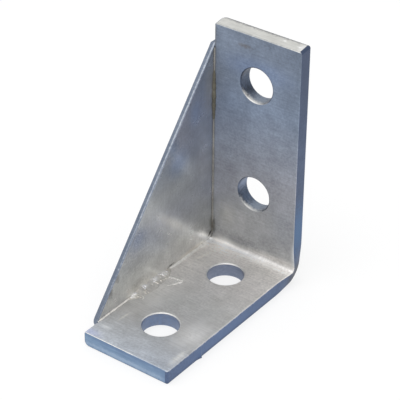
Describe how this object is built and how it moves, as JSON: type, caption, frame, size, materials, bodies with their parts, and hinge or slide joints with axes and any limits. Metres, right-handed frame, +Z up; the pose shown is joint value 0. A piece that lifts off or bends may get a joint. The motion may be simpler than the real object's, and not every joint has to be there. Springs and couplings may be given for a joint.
{
  "type": "strut angle bracket",
  "caption": "Right-angle bracket for strut channel: a bent flat bar with bolt holes in both legs, stiffened by a triangular gusset plate welded against one edge.",
  "frame": {"origin": "on the underside of the base leg, midway between its two bolt holes and across its width", "axes": "+Z up along the upright leg, +Y back from the base's front end towards the upright, +X towards the free edge, away from the gusset"},
  "size_m": [0.0432, 0.0875, 0.1048],
  "materials": {
    "bar_steel": "galvanised, satin, scuffed",
    "gusset_steel": "galvanised, satin, scuffed",
    "base_weld_metal": "galvanised weld bead, rough",
    "upright_weld_metal": "weld bead stained brown"
  },
  "bodies": {
    "root": {"angle_plate": "bar_steel", "gusset_plate": "gusset_steel", "base_weld": "base_weld_metal", "upright_weld": "upright_weld_metal"}
  },
  "joints": []
}
